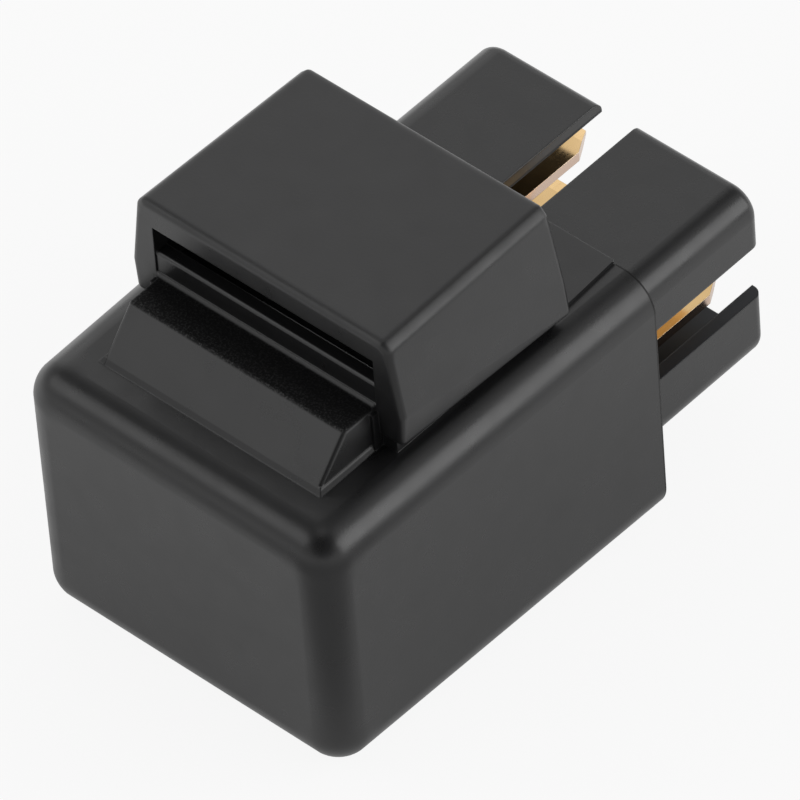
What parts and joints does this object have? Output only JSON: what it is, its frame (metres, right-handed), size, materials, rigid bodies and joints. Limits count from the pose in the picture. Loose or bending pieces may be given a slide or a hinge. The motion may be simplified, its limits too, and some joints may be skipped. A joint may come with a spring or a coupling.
{
  "type": "automotive relay",
  "caption": "Sealed plug-in automotive mini relay with a bracket sleeve on its cover, flat blade terminals in a shroud, and a coil, hinged armature and contacts inside.",
  "frame": {"origin": "centre of the bounding box in X and Y, at the underside of the cover in Z", "axes": "+Y along the blades away from the cover's closed end, +Z from the underside towards the bracket sleeve, +X to the right when looking along +Y"},
  "size_m": [0.028, 0.0442, 0.0311],
  "materials": {
    "black_plastic": "satin black moulding, fine grain",
    "base_plastic": "satin black moulding, a little finer than the cover",
    "resin": "dark potting resin with a wet skin",
    "steel_plated": "bright zinc over rolled steel",
    "steel_core": "turned soft iron, plated",
    "bobbin_plastic": "natural white nylon",
    "enamel_copper": "clear enamel over copper wire",
    "bronze_leaf": "rolled phosphor bronze",
    "rivet_metal": "dull rivet metal",
    "silver_contact": "silver alloy, domed by use",
    "spring_steel": "rolled spring strip",
    "terminal_brass": "stamped brass, warm and slightly stained",
    "resistor_coat": "glossy coating",
    "tinned_wire": "tinned copper wire"
  },
  "bodies": {
    "housing": {"cover": "black_plastic", "base": "base_plastic", "seal_resin": "resin", "yoke": "steel_plated", "core": "steel_core", "bobbin": "bobbin_plastic", "winding": "enamel_copper", "return_spring": "spring_steel", "spring_rivet_front": "rivet_metal", "spring_rivet_rear": "rivet_metal", "fixed_contact": "silver_contact", "terminal_contact": "terminal_brass", "terminal_common": "terminal_brass", "terminal_coil_left": "terminal_brass", "terminal_coil_right": "terminal_brass", "coil_lead_left": "enamel_copper", "coil_lead_right": "enamel_copper", "resistor_body": "resistor_coat", "resistor_lead_left": "tinned_wire", "resistor_lead_right": "tinned_wire"},
    "armature_group": {"armature": "steel_plated", "contact_arm": "bronze_leaf", "arm_rivet_inner": "rivet_metal", "arm_rivet_outer": "rivet_metal", "moving_contact": "silver_contact"}
  },
  "joints": [
    {"name": "armature_hinge", "type": "hinge", "parent": "housing", "child": "armature_group", "pos_m": [-0.01, -0.01455, 0.0107], "axis": [0, 0, 1], "range_deg": [0, 2.6], "stiffness_Nm_per_rad": 0.02, "springref_deg": -17.19}
  ]
}
